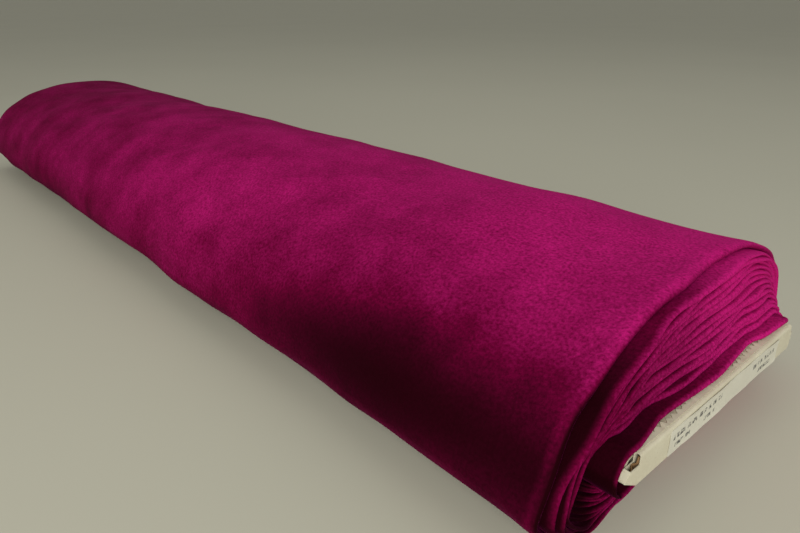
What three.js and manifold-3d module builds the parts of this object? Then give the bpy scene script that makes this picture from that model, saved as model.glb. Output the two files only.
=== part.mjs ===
// A bolt of velour: cloth folded double along its length and wound flat round a folded
// corrugated board. Millimetres, +Z up, +X towards the labelled end of the board, the
// origin under the middle of the bolt on the surface that it lies on.
import * as THREE from "three";
import { mergeVertices } from "three/addons/utils/BufferGeometryUtils.js";
import Module from "manifold-3d";

const wasm = await Module();
wasm.setup();

// ---- Driving dimensions ----

const board = {
  length: 779, // out to out, over both end flaps
  width: 151,
  thickness: 12.8,
  wall: 2.8, // one layer of corrugated board
  cornerRadius: 3,
  edgeLean: 5, // how far the top of the left edge leans in over its foot
};
const label = { width: 102, height: 11.4, thickness: 0.3, shift: 6 };
const flap = {
  tongueLength: 8,
  tongueInset: 9, // each end of the tongue, in from the side of the board
  notchWidth: 4.5, // relief cut at the ends of the crease
  notchHeight: 4.2,
};
const insert = {
  plies: 2,
  plyGap: 0.6,
  fitGap: 0.3, // to the sleeve, on every side
  endRecess: 16, // from each end of the board
};
const tape = { count: 3, length: 52, width: 25, thickness: 0.25 };
const cloth = {
  foldedWidth: 750, // fold to selvedges, once the cloth is doubled
  boardShows: 17, // length of board that stands out past the fold edges
  turns: 15,
  pairThickness: 1, // two leaves, pressed together
  bulk: 31, // build-up of the turns at either edge of the board
  crown: 50, // build-up over the board, where the turns lie slack
  bed: 25, // build-up under the board, where the weight presses them
  flatBed: 40, // half the width that the last turn rests on
  widestHeight: 25, // height of the widest place above the surface
  edgeRound: 6, // rounding of the first turn at the edges of the board
  edgeSlack: 2, // from the edges of the board to the first turn
  rounding: 1.2, // how late the flat runs give way to the oval; 1 is evenly
};
const clearance = 0.3; // between neighbouring pieces
const arcSteps = 6; // facets in a quarter turn of the cloth

// ---- Places worked out from them ----

const overallLength = board.length + clearance + label.thickness;
const boardFarX = -overallLength / 2;
const boardNearX = boardFarX + board.length;
const clothNearX = boardNearX - cloth.boardShows;
const clothFarX = clothNearX - cloth.foldedWidth;
const firstGap = tape.thickness + 2 * clearance; // board to first turn, tape between
const boardFootZ = cloth.bed;
const boardTopZ = boardFootZ + board.thickness;
const creaseInset = board.wall / 2; // an end flap turns about the middle of its crease
const sleeveEndInset = board.wall + clearance;
const tongueSetback = board.wall + clearance; // tongue's axis, in from the crease's
const tongueLift = liftToSwingClear();

// Height of a tongue over the bottom panel. It hangs from the crease like a pendulum, a
// little inside of plumb, so it dips as its flap opens and still has to pass the panel.
function liftToSwingClear() {
  const headroom = board.thickness - 2 * board.wall;
  const longestReach = headroom - clearance;
  return headroom - Math.sqrt(longestReach ** 2 - tongueSetback ** 2);
}

const finishes = {
  velour: [0x8e1058, 0.95],
  whiteLiner: [0xcfcbb0, 0.8],
  kraft: [0xa98b60, 0.9],
  paper: [0xe4e2d6, 0.7],
  tape: [0xd8d2b8, 0.35],
};

// ---- Helpers ----

function material([color, roughness]) {
  return new THREE.MeshStandardMaterial({ color, roughness, metalness: 0 });
}

function piece(name, geometry, finish) {
  const mesh = new THREE.Mesh(geometry, material(finish));
  mesh.name = name;
  return mesh;
}

// A closed geometry as a solid that can be cut.
function solid(geometry) {
  const bare = geometry.clone();
  bare.deleteAttribute("normal");
  bare.deleteAttribute("uv");
  const merged = mergeVertices(bare, 1e-4);
  return new wasm.Manifold(
    new wasm.Mesh({
      numProp: 3,
      vertProperties: merged.attributes.position.array,
      triVerts: new Uint32Array(merged.index.array),
    }),
  );
}

function geometryOf(made) {
  const mesh = made.getMesh();
  const geometry = new THREE.BufferGeometry();
  geometry.setAttribute(
    "position",
    new THREE.BufferAttribute(new Float32Array(mesh.vertProperties), 3),
  );
  geometry.setIndex(new THREE.BufferAttribute(new Uint32Array(mesh.triVerts), 1));
  geometry.computeVertexNormals();
  return geometry;
}

// An outline drawn in Y and Z, carried along X from one place to another.
function alongX(shape, fromX, toX) {
  const geometry = new THREE.ExtrudeGeometry(shape, {
    depth: toX - fromX,
    bevelEnabled: false,
    curveSegments: 4,
  });
  const axes = new THREE.Matrix4().makeBasis(
    new THREE.Vector3(0, 1, 0),
    new THREE.Vector3(0, 0, 1),
    new THREE.Vector3(1, 0, 0),
  );
  return geometry.applyMatrix4(axes).translate(fromX, 0, 0);
}

// An outline drawn in X and Z, carried along Y across the board.
function acrossY(shape, fromY, toY) {
  const geometry = new THREE.ExtrudeGeometry(shape, {
    depth: toY - fromY,
    bevelEnabled: false,
    curveSegments: 8,
  });
  return geometry.rotateX(Math.PI / 2).translate(0, toY, 0);
}

function box(low, high) {
  const size = high.map((value, i) => value - low[i]);
  const middle = high.map((value, i) => (value + low[i]) / 2);
  return new THREE.BoxGeometry(...size).translate(...middle);
}

// A closed outline through the corners, each rounded off by the same radius.
function roundedOutline(corners, radius, Kind = THREE.Shape) {
  const outline = new Kind();
  corners.forEach((corner, i) => {
    const before = corners[(i + corners.length - 1) % corners.length];
    const after = corners[(i + 1) % corners.length];
    const start = corner.clone().lerp(before, radius / corner.distanceTo(before));
    const end = corner.clone().lerp(after, radius / corner.distanceTo(after));
    if (i === 0) outline.moveTo(start.x, start.y);
    else outline.lineTo(start.x, start.y);
    outline.quadraticCurveTo(corner.x, corner.y, end.x, end.y);
  });
  outline.closePath();
  return outline;
}

// ---- The board ----

// Corners of the board's section, drawn in by an inset on all four sides.
function boardCorners(inset) {
  const half = board.width / 2 - inset;
  const lean = board.edgeLean;
  const low = boardFootZ + inset;
  const high = boardTopZ - inset;
  const leanAt = (z) => (lean * (z - boardFootZ)) / board.thickness;
  return [
    new THREE.Vector2(-half + leanAt(low), low),
    new THREE.Vector2(half, low),
    new THREE.Vector2(half, high),
    new THREE.Vector2(-half + leanAt(high), high),
  ];
}

function boardSleeve() {
  const section = roundedOutline(boardCorners(0), board.cornerRadius);
  const hollowRadius = board.cornerRadius / 3;
  section.holes.push(roundedOutline(boardCorners(board.wall), hollowRadius, THREE.Path));
  const fromX = boardFarX + sleeveEndInset;
  const toX = boardNearX - sleeveEndInset;
  return piece("board_sleeve", alongX(section, fromX, toX), finishes.whiteLiner);
}

// A second corrugated sheet, folded once along the board and slid into the sleeve.
function coreInsert() {
  const inset = board.wall + insert.fitGap;
  const [footLeft, footRight, topRight, topLeft] = boardCorners(inset);
  const left = Math.max(footLeft.x, topLeft.x) + board.cornerRadius / 3;
  const height = topRight.y - footRight.y;
  const ply = (height - insert.plyGap) / insert.plies;
  const slitEnd = footRight.x - ply;
  const section = new THREE.Shape();
  section.moveTo(left, footRight.y);
  section.lineTo(footRight.x - ply, footRight.y);
  section.quadraticCurveTo(footRight.x, footRight.y, footRight.x, footRight.y + ply);
  section.lineTo(topRight.x, topRight.y - ply);
  section.quadraticCurveTo(topRight.x, topRight.y, topRight.x - ply, topRight.y);
  section.lineTo(left, topRight.y);
  section.lineTo(left, footRight.y + ply + insert.plyGap);
  section.lineTo(slitEnd, footRight.y + ply + insert.plyGap);
  section.lineTo(slitEnd, footRight.y + ply);
  section.lineTo(left, footRight.y + ply);
  section.closePath();
  const fromX = boardFarX + insert.endRecess;
  const toX = boardNearX - insert.endRecess;
  return piece("core_insert", alongX(section, fromX, toX), finishes.kraft);
}

// The end flap closes one end of the board. It folds down from the top panel at a
// perforated crease, so its upper edge is round about the line that it turns on.
// side is 1 at the labelled end and -1 at the plain end.
function endFlap(name, side) {
  const outerX = side > 0 ? boardNearX : boardFarX;
  const axisX = outerX - side * creaseInset;
  const axisZ = boardTopZ - creaseInset;
  const shape = new THREE.Shape();
  shape.moveTo(axisX - creaseInset, boardFootZ);
  shape.lineTo(axisX + creaseInset, boardFootZ);
  shape.lineTo(axisX + creaseInset, axisZ);
  shape.absarc(axisX, axisZ, creaseInset, 0, Math.PI, false);
  shape.closePath();
  const half = board.width / 2;
  let made = solid(acrossY(shape, -half, half));
  const farX = axisX - board.wall;
  const nearX = axisX + board.wall;
  const over = boardTopZ + board.wall;
  const notchZ = boardTopZ - flap.notchHeight;
  const notches = [
    [-half - board.wall, -half + board.edgeLean + flap.notchWidth],
    [half - flap.notchWidth / 2, half + board.wall],
  ];
  for (const [fromY, toY] of notches) {
    made = made.subtract(solid(box([farX, fromY, notchZ], [nearX, toY, over])));
  }
  return piece(name, geometryOf(made.subtract(leanCut(farX, nearX))), finishes.whiteLiner);
}

// The wedge that the leaning left edge of the board leaves out of an end flap.
function leanCut(fromX, toX) {
  const half = board.width / 2;
  const foot = boardFootZ + board.wall;
  const shape = new THREE.Shape();
  shape.moveTo(-half, foot);
  shape.lineTo(-half + board.edgeLean, boardTopZ);
  shape.lineTo(-half + board.edgeLean, boardTopZ + board.wall);
  shape.lineTo(-half - board.wall, boardTopZ + board.wall);
  shape.lineTo(-half - board.wall, foot);
  shape.closePath();
  return solid(alongX(shape, fromX, toX));
}

// The tongue on the back of an end flap tucks in over the bottom panel.
function tuckTongue(name, side) {
  const creaseX = (side > 0 ? boardNearX : boardFarX) - side * creaseInset;
  const axisX = creaseX - side * tongueSetback;
  const low = boardFootZ + board.wall + tongueLift;
  const high = low + board.wall;
  const tipX = axisX - side * (flap.tongueLength - creaseInset);
  const turn = side > 0 ? -Math.PI / 2 : Math.PI / 2;
  const shape = new THREE.Shape();
  shape.moveTo(tipX, side > 0 ? low : high);
  shape.lineTo(axisX, side > 0 ? low : high);
  shape.absarc(axisX, (low + high) / 2, creaseInset, turn, turn + Math.PI, false);
  shape.lineTo(tipX, side > 0 ? high : low);
  shape.closePath();
  const half = board.width / 2 - board.wall - flap.tongueInset;
  return piece(name, acrossY(shape, -half, half), finishes.whiteLiner);
}

function endLabel() {
  const middleZ = (boardFootZ + boardTopZ) / 2 - creaseInset / 2;
  const low = [
    boardNearX + clearance,
    label.shift - label.width / 2,
    middleZ - label.height / 2,
  ];
  const high = [
    low[0] + label.thickness,
    label.shift + label.width / 2,
    middleZ + label.height / 2,
  ];
  return piece("end_label", box(low, high), finishes.paper);
}

// Flat strips that hold the first edge of the cloth to the top of the board.
function starterTape(index) {
  const share = (index + 0.5) / tape.count;
  const middleX = clothFarX + cloth.foldedWidth * share;
  const edgeY = firstEdgeY();
  const low = [middleX - tape.length / 2, edgeY - tape.width, boardTopZ + clearance];
  const high = [middleX + tape.length / 2, edgeY, low[2] + tape.thickness];
  return piece(`starter_tape_${index + 1}`, box(low, high), finishes.tape);
}

// ---- The cloth ----

// The section of the winding is nested ovals. Each oval is four quarter ellipses joined
// by a flat run at the top and the bottom. share runs from 0 at the board to 1 outside.
function mix(from, to, share) {
  return from + (to - from) * share;
}

function sideAt(share) {
  const first = board.width / 2 + cloth.edgeSlack;
  return mix(first, board.width / 2 + cloth.bulk - cloth.pairThickness, share);
}

function widestAt(share) {
  return mix(boardFootZ + board.thickness / 2, cloth.widestHeight, share);
}

function topAt(share) {
  const first = boardTopZ + firstGap;
  return mix(first, boardTopZ + cloth.crown - cloth.pairThickness, share);
}

function bottomAt(share) {
  return mix(boardFootZ - firstGap, cloth.pairThickness, share);
}

function flatAt(share, last) {
  const first = sideAt(0) - cloth.edgeRound;
  return mix(first, last, share ** cloth.rounding);
}

function firstEdgeY() {
  return flatAt(0, 0);
}

// Points and outward directions along the inner face of the cloth, from its first edge
// on top of the board, over the left edge and on round to its last edge, at the right.
function windingPath() {
  const firstEdge = new THREE.Vector2(firstEdgeY(), topAt(0));
  const steps = [{ point: firstEdge, outward: new THREE.Vector2(0, 1) }];
  const quarters = cloth.turns * 4;
  const lastBed = quarters - 2; // the quarter turn that ends the winding's flat underside
  const shareOf = (quarter) => quarter / lastBed;
  for (let quarter = 0; quarter < quarters; quarter++) {
    const phase = quarter % 4; // 0 top to left, 1 left to bottom, 2 bottom to right, 3 right to top
    const level = shareOf(quarter + (phase % 2 ? 1 : 0)); // of the flat run that it meets
    const side = shareOf(quarter + (phase % 2 ? 0 : 1)); // of the upright that it meets
    const upper = phase === 0 || phase === 3;
    const sign = phase < 2 ? -1 : 1;
    const flat = flatAt(level, upper ? 0 : cloth.flatBed);
    const reach = sideAt(side) - flat;
    const rise = (upper ? topAt(level) : bottomAt(level)) - widestAt(side);
    const lastStep = quarter === quarters - 1 ? 0 : arcSteps;
    for (let step = 0; step <= lastStep; step++) {
      const along = step / arcSteps;
      const angle = ((phase % 2 ? along : 1 - along) * Math.PI) / 2;
      const y = sign * (flat + reach * Math.cos(angle));
      const z = widestAt(side) + rise * Math.sin(angle);
      const outward = new THREE.Vector2(
        (sign * Math.cos(angle)) / reach,
        Math.sin(angle) / rise,
      ).normalize();
      steps.push({ point: new THREE.Vector2(y, z), outward });
    }
  }
  return steps;
}

// Neighbouring quarters share their end point, so the second of each pair is dropped.
function withoutRepeats(steps) {
  return steps.filter((step, i) => {
    return i === 0 || step.point.distanceTo(steps[i - 1].point) > 1e-6;
  });
}

function velourCloth() {
  const steps = withoutRepeats(windingPath());
  const inner = steps.map(({ point }) => point);
  const outer = steps.map(({ point, outward }) => {
    return point.clone().addScaledVector(outward, cloth.pairThickness);
  });
  const section = new THREE.Shape([...inner.reverse(), ...outer]);
  return piece("velour_cloth", alongX(section, clothFarX, clothNearX), finishes.velour);
}

// ---- The whole bolt ----

const bolt = new THREE.Group();
bolt.add(boardSleeve(), coreInsert());
bolt.add(endFlap("label_end_flap", 1), tuckTongue("label_end_tongue", 1), endLabel());
bolt.add(endFlap("plain_end_flap", -1), tuckTongue("plain_end_tongue", -1));
for (let index = 0; index < tape.count; index++) {
  bolt.add(starterTape(index));
}
bolt.add(velourCloth());

export default bolt;
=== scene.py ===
import bpy
import math
import numpy as np
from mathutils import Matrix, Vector


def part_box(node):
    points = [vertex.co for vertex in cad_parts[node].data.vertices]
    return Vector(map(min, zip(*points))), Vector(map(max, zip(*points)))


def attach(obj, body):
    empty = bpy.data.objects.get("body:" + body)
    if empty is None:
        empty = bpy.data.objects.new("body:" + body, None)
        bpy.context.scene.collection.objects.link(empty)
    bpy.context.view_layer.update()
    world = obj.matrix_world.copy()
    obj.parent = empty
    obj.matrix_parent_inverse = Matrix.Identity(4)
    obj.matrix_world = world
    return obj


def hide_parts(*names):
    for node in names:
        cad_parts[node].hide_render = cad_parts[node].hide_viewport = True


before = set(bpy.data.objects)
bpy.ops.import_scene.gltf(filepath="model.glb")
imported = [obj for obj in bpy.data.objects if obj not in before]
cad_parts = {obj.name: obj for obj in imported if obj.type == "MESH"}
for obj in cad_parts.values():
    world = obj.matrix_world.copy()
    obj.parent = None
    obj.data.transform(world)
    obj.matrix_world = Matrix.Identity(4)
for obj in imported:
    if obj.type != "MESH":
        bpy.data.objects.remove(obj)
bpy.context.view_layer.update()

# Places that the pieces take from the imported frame, in metres.
sleeveLow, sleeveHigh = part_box("board_sleeve")
clothLow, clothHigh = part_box("velour_cloth")
labelFlapLow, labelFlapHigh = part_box("label_end_flap")
plainFlapLow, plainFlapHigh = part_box("plain_end_flap")
paperLow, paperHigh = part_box("end_label")
mm = 0.001
turn = 2 * math.pi


def gridFaces(rows, columns, closeRows=False, closeColumns=False, first=0):
    # quads between neighbouring rows and columns of a grid of points, wrapped round where closed
    index = np.arange(rows * columns).reshape(rows, columns) + first
    if closeRows:
        index = np.vstack([index, index[:1]])
    if closeColumns:
        index = np.hstack([index, index[:, :1]])
    corners = [index[:-1, :-1], index[1:, :-1], index[1:, 1:], index[:-1, 1:]]
    return np.stack(corners, axis=-1).reshape(-1, 4)


def signedVolume(points, faces):
    # a sixth of the sum of the triple products of each face's triangles about its first corner
    total = 0.0
    for count in {len(face) for face in faces}:
        corners = points[np.array([face for face in faces if len(face) == count])]
        for k in range(1, count - 1):
            cross = np.cross(corners[:, k], corners[:, k + 1])
            total += np.einsum("ij,ij->", corners[:, 0], cross) / 6
    return total


def facingOut(points, faces):
    # a closed shell's faces, turned round if its volume comes out negative
    if signedVolume(points, faces) < 0:
        return [tuple(reversed(face)) for face in faces]
    return faces


def closedTube(rings, closed):
    # rings is an array rows x columns x 3: a loop of points carried along a path; its two ends are
    # closed with one face each, or joined to each other where the path is itself a loop
    rows, columns = rings.shape[:2]
    points = rings.reshape(-1, 3)
    faces = [tuple(q) for q in gridFaces(rows, columns, closed, True).tolist()]
    if not closed:
        faces.append(tuple(range(columns)))
        faces.append(tuple(range(rows * columns - 1, (rows - 1) * columns - 1, -1)))
    return points, facingOut(points, faces)


def makePiece(name, shells, materials, smooth=True, attributes=None):
    # one object out of closed shells, each (points, faces, material number)
    allPoints, allFaces, numbers, first = [], [], [], 0
    for points, faces, number in shells:
        allPoints.append(points)
        allFaces.extend([tuple(i + first for i in face) for face in faces])
        numbers.extend([number] * len(faces))
        first += len(points)
    mesh = bpy.data.meshes.new(name)
    mesh.from_pydata(np.vstack(allPoints).tolist(), [], allFaces)
    mesh.polygons.foreach_set("material_index", np.array(numbers, dtype=np.int32))
    mesh.polygons.foreach_set("use_smooth", np.full(len(allFaces), smooth))
    for material in materials:
        mesh.materials.append(material)
    for title, values in (attributes or {}).items():
        layer = mesh.attributes.new(title, "FLOAT", "POINT")
        layer.data.foreach_set("value", np.asarray(values, dtype=np.float32).ravel())
    mesh.update()
    made = bpy.data.objects.new(name, mesh)
    bpy.context.scene.collection.objects.link(made)
    print(name, len(mesh.vertices), "points", len(mesh.polygons), "faces")
    return made


def settle(piece, body, node=None, sharp=35):
    # edges bent by more than sharp degrees stay sharp, and the piece rides on its body
    piece.data.set_sharp_from_angle(angle=math.radians(sharp))
    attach(piece, body)
    if node:
        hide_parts(node)


def softStep(value, low, high):
    # rises from 0 at low to 1 at high, level at both ends
    share = np.clip((value - low) / (high - low), 0, 1)
    return share * share * (3 - 2 * share)


def mix(low, high, share):
    return low + (high - low) * share


def waves(seed, count, shortest, longest, *axes):
    # smooth noise of unit spread: a sum of sines of random length, direction and phase over the
    # given axes
    random = np.random.default_rng(seed)
    total = 0
    for _ in range(count):
        length = math.exp(random.uniform(math.log(shortest), math.log(longest)))
        direction = random.normal(size=len(axes))
        direction /= np.linalg.norm(direction)
        phase = random.uniform(0, turn)
        reach = sum(d * a for d, a in zip(direction, axes))
        total = total + np.sin(turn / length * reach + phase)
    return total / math.sqrt(count / 2)


class Wire:
    # a socket whose arithmetic adds Math nodes, so that shader maths reads as a formula
    def __init__(self, recipe, socket):
        self.recipe, self.socket = recipe, socket

    def maths(self, operation, *values):
        return self.recipe.add("ShaderNodeMath", {"operation": operation}, dict(enumerate(values)))

    def __add__(self, other):
        return self.maths("ADD", self, other)

    def __radd__(self, other):
        return self.maths("ADD", other, self)

    def __sub__(self, other):
        return self.maths("SUBTRACT", self, other)

    def __rsub__(self, other):
        return self.maths("SUBTRACT", other, self)

    def __mul__(self, other):
        return self.maths("MULTIPLY", self, other)

    def __rmul__(self, other):
        return self.maths("MULTIPLY", other, self)

    def most(self, other):
        return self.maths("MAXIMUM", self, other)

    def sine(self):
        return self.maths("SINE", self)

    def between(self, low, high):
        # 1 from low to high and 0 outside
        return self.maths("GREATER_THAN", self, low) * self.maths("LESS_THAN", self, high)

    def ramped(self, low, high):
        # a soft step from 0 at low to 1 at high
        settings = {"interpolation_type": "SMOOTHSTEP"}
        inputs = {"Value": self, "From Min": low, "From Max": high}
        return self.recipe.add("ShaderNodeMapRange", settings, inputs)



class Recipe:
    # one material's node tree
    def __init__(self, name):
        self.material = bpy.data.materials.new(name)
        self.material.use_nodes = True
        self.tree = self.material.node_tree
        self.tree.nodes.clear()

    def add(self, kind, settings=None, inputs=None, output=0):
        node = self.tree.nodes.new(kind)
        for key, value in (settings or {}).items():
            if key == "stops":
                self.setStops(node.color_ramp, value)
            else:
                setattr(node, key, value)
        for key, value in (inputs or {}).items():
            if isinstance(value, Wire):
                self.tree.links.new(value.socket, node.inputs[key])
            elif value is not None:
                node.inputs[key].default_value = value
        return Wire(self, node.outputs[output]) if node.outputs else None

    def setStops(self, ramp, stops):
        while len(ramp.elements) < len(stops):
            ramp.elements.new(1.0)
        for element, (place, color) in zip(ramp.elements, stops):
            element.position, element.color = place, color

    def place(self):
        return self.add("ShaderNodeTexCoord", output="Object")

    def axis(self, vector, name):
        return self.add("ShaderNodeSeparateXYZ", None, {"Vector": vector}, name)

    def stretched(self, vector, scale):
        return self.add("ShaderNodeMapping", None, {"Vector": vector, "Scale": scale})

    def noise(self, vector, kind):
        scale, detail, roughness = kind
        inputs = {"Vector": vector, "Scale": scale, "Detail": detail, "Roughness": roughness}
        return self.add("ShaderNodeTexNoise", None, inputs, "Fac")

    def blend(self, low, high, factor):
        # a colour between two; 6, 7 and 2 are the node's sockets for colours
        inputs = {"Factor": factor, 6: low, 7: high}
        return self.add("ShaderNodeMix", {"data_type": "RGBA"}, inputs, 2)

    def bump(self, height, kind):
        strength, distance = kind
        inputs = {"Height": height, "Strength": strength, "Distance": distance}
        return self.add("ShaderNodeBump", None, inputs)

    def finish(self, inputs):
        shader = self.add("ShaderNodeBsdfPrincipled", None, inputs)
        self.add("ShaderNodeOutputMaterial", None, {"Surface": shader})
        return self.material


def color(red, green, blue):
    return (red, green, blue, 1.0)


# In the looks below a noise is given as its scale for each metre, its detail and its roughness, and
# a bump as its strength and its depth.
velourLook = {
    # shadowed, middle and lit copies of the pile colour, between which the ramp paints light and
    # shade
    "shadowPile": color(0.012, 0.0, 0.0016),
    "middlePile": color(0.122, 0.0004, 0.027),
    "litPile": color(0.56, 0.0110, 0.186),
    "middleAt": 0.2,  # place of the middle colour between the other two
    "shadingRange": (-0.12, 1.12),  # values of the painted light and shade that give the darkest and the brightest pile
    "blotches": (30.0, 4.0, 0.62),  # patches of brushed pile
    "blotchTone": 0.12,
    "blotchMiddling": 2.0,  # how much more they vary a middling painted light and shade
    "broadPatches": (7.0, 2.0, 0.5),
    "broadTone": 0.18,
    "tufts": (760.0, 2.0, 0.6),
    "grain": 1.9,  # how much single tufts differ in brightness
    "bump": (0.35, 0.0008),
    "blotchHeight": 0.5,
    "roughness": 0.85,
    "specular": 0.03,
    "sheenTint": color(1.0, 0.02, 0.40),
    "sheenWeight": 0.07,
    "sheenRoughness": 0.35,
}


def velourMaterial():
    # brushed pile: an attribute holds painted light and shade, patches and single tufts vary it,
    # and a ramp from a shadowed to a lit pile colour turns it into a colour
    look = velourLook
    r = Recipe("velour")
    at = r.place()
    nap = r.add("ShaderNodeAttribute", {"attribute_name": "nap"}, None, "Fac")
    blotch = r.noise(at, look["blotches"])
    broad = r.noise(at, look["broadPatches"])
    tufts = r.noise(at, look["tufts"])
    blotchTone = look["blotchTone"] + nap * (1 - nap) * look["blotchMiddling"]
    lit = nap + (blotch - 0.5) * blotchTone + (broad - 0.5) * look["broadTone"]
    shade = lit.ramped(*look["shadingRange"]) * (1 + (tufts - 0.5) * look["grain"])
    colors = (look["shadowPile"], look["middlePile"], look["litPile"])
    stops = list(zip((0.0, look["middleAt"], 1.0), colors))
    return r.finish({
        "Base Color": r.add("ShaderNodeValToRGB", {"stops": stops}, {"Fac": shade}),
        "Roughness": look["roughness"],
        "Normal": r.bump(tufts + blotch * look["blotchHeight"], look["bump"]),
        "Specular IOR Level": look["specular"],
        "Sheen Weight": look["sheenWeight"],
        "Sheen Roughness": look["sheenRoughness"],
        "Sheen Tint": look["sheenTint"],
    })


boardLook = {
    "liner": color(0.66, 0.62, 0.47),
    "linerShade": color(0.56, 0.51, 0.37),
    # the sleeve's liner: a little tan of its own, and darker and warmer as painted shade from the
    # cloth
    "topStrip": color(0.55, 0.50, 0.36),
    "topStripShade": color(0.47, 0.41, 0.29),
    "cloud": (60.0, 4.0, 0.6),
    "cloudShare": 0.9,
    "grainScale": (260.0, 900.0, 900.0),  # fibres of the liner, drawn out along the board
    "fibres": (1.0, 3.0, 0.7),
    "fibreShare": 0.45,
    "shadeRange": (0.38, 1.08),
    "specks": (1500.0, 1.0, 0.5),
    "speckRange": (0.68, 0.76),
    "speckShare": 0.35,
    "fluteShow": 970.0,  # the flutes that show through, in radians for each metre
    "roughness": 0.62,
    "fibreRoughness": 0.25,
    "fibreHeight": 0.6,
    "fluteHeight": 0.25,
    "bump": (0.25, 0.0002),
}

kraftLook = {
    "kraft": color(0.30, 0.17, 0.07),
    "kraftShade": color(0.20, 0.11, 0.045),
    "grainScale": (200.0, 700.0, 700.0),
    "fibres": (1.0, 4.0, 0.7),
    "cloud": (90.0, 3.0, 0.6),
    "roughness": 0.92,
    "bump": (0.4, 0.0003),
}


def linerMaterial(name, light, dark):
    # coated paper liner: cloudy fibres, faint lines of the flutes beneath and a few specks
    look = boardLook
    r = Recipe(name)
    at = r.place()
    cloud = r.noise(at, look["cloud"])
    fibres = r.noise(r.stretched(at, look["grainScale"]), look["fibres"])
    specks = r.noise(at, look["specks"]).ramped(*look["speckRange"])
    mask = cloud * look["cloudShare"] + fibres * look["fibreShare"]
    tone = r.blend(light, dark, mask.ramped(*look["shadeRange"]))
    flutes = (r.axis(at, "Y") * look["fluteShow"]).sine()
    height = fibres * look["fibreHeight"] + flutes * look["fluteHeight"]
    return r.finish({
        "Base Color": r.blend(tone, kraftLook["kraft"], specks * look["speckShare"]),
        "Roughness": look["roughness"] + fibres * look["fibreRoughness"],
        "Normal": r.bump(height, look["bump"]),
    })


def kraftMaterial():
    # brown fluting paper with coarse fibres
    look = kraftLook
    r = Recipe("kraftFluting")
    at = r.place()
    fibres = r.noise(r.stretched(at, look["grainScale"]), look["fibres"])
    cloud = r.noise(at, look["cloud"])
    return r.finish({
        "Base Color": r.blend(look["kraft"], look["kraftShade"], (fibres + cloud) * 0.5),
        "Roughness": look["roughness"],
        "Normal": r.bump(fibres, look["bump"]),
    })


paperLook = {
    "paper": color(0.70, 0.68, 0.57),
    "paperShade": color(0.63, 0.60, 0.49),
    "ink": color(0.035, 0.035, 0.04),
    "inkShare": 0.95,
    # each row of marks: its foot and head over the label's middle, and where its groups stand
    "rows": [
        ((0.0004, 0.0027), [(-0.0420, -0.0010), (0.0300, 0.0530)]),
        ((-0.0034, -0.0016), [(-0.0400, -0.0280), (-0.0160, -0.0070), (0.0330, 0.0500)]),
    ],
    # scale along X, Y and Z, noise, and the range over which the noise goes from blank to ink
    "letters": ((0.0, 330.0, 120.0), (1.0, 0.0, 0.5), (0.45, 0.51)),
    "strokes": ((0.0, 1500.0, 500.0), (1.0, 1.0, 0.5), (0.37, 0.49)),
    "worn": ((0.0, 420.0, 900.0), (1.0, 2.0, 0.6), (0.30, 0.55)),
    "cloud": (90.0, 3.0, 0.6),
    "roughness": 0.55,
    "cloudRoughness": 0.2,
    "bump": (0.15, 0.0002),
}


def paperMaterial():
    # a paper label with groups of small worn marks that spell nothing, in two rows
    look = paperLook
    r = Recipe("labelPaper")
    at = r.place()
    across, up = r.axis(at, "Y"), r.axis(at, "Z") - (paperLow.z + paperHigh.z) / 2
    marks = None
    for (foot, head), groups in look["rows"]:
        for left, right in groups:
            group = up.between(foot, head) * across.between(left, right)
            marks = marks.most(group) if marks else group
    for scale, kind, inkRange in (look["letters"], look["strokes"], look["worn"]):
        marks = marks * r.noise(r.stretched(at, scale), kind).ramped(*inkRange)
    cloud = r.noise(at, look["cloud"])
    tone = r.blend(look["paper"], look["paperShade"], cloud)
    return r.finish({
        "Base Color": r.blend(tone, look["ink"], marks * look["inkShare"]),
        "Roughness": look["roughness"] + cloud * look["cloudRoughness"],
        "Normal": r.bump(cloud, look["bump"]),
    })


tapeLook = {
    "film": color(0.60, 0.52, 0.33),
    "crease": color(0.45, 0.36, 0.2),
    "crinkleScale": (90.0, 260.0, 90.0),
    "crinkle": (1.0, 3.0, 0.6),
    "roughness": 0.22,
    "crinkleRoughness": 0.2,
    "bump": (0.3, 0.0003),
}


def tapeMaterial():
    # thin tape: a glossy film, slightly crinkled
    look = tapeLook
    r = Recipe("starterTape")
    crinkle = r.noise(r.stretched(r.place(), look["crinkleScale"]), look["crinkle"])
    return r.finish({
        "Base Color": r.blend(look["film"], look["crease"], crinkle),
        "Roughness": look["roughness"] + crinkle * look["crinkleRoughness"],
        "Normal": r.bump(crinkle, look["bump"]),
    })


tableLook = {
    "pale": color(0.60, 0.585, 0.475),
    "shade": color(0.565, 0.55, 0.445),
    "cloud": (2.2, 3.0, 0.5),
    "roughness": 0.7,
    "specular": 0.25,
}


def floorMaterial():
    # pale tabletop, slightly uneven in tone
    r = Recipe("paleTable")
    cloud = r.noise(r.place(), tableLook["cloud"])
    return r.finish({
        "Base Color": r.blend(tableLook["pale"], tableLook["shade"], cloud),
        "Roughness": tableLook["roughness"],
        "Specular IOR Level": tableLook["specular"],
    })


velourCloth = velourMaterial()
whiteLiner = linerMaterial("whiteLiner", boardLook["liner"], boardLook["linerShade"])
# the sleeve's liner, tinted tan and darker with painted shade
shadedTanLiner = linerMaterial("shadedTanLiner", boardLook["topStrip"], boardLook["topStripShade"])
kraftFluting = kraftMaterial()
labelPaper = paperMaterial()
starterTape = tapeMaterial()
paleTable = floorMaterial()
print("materials ready")


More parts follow.
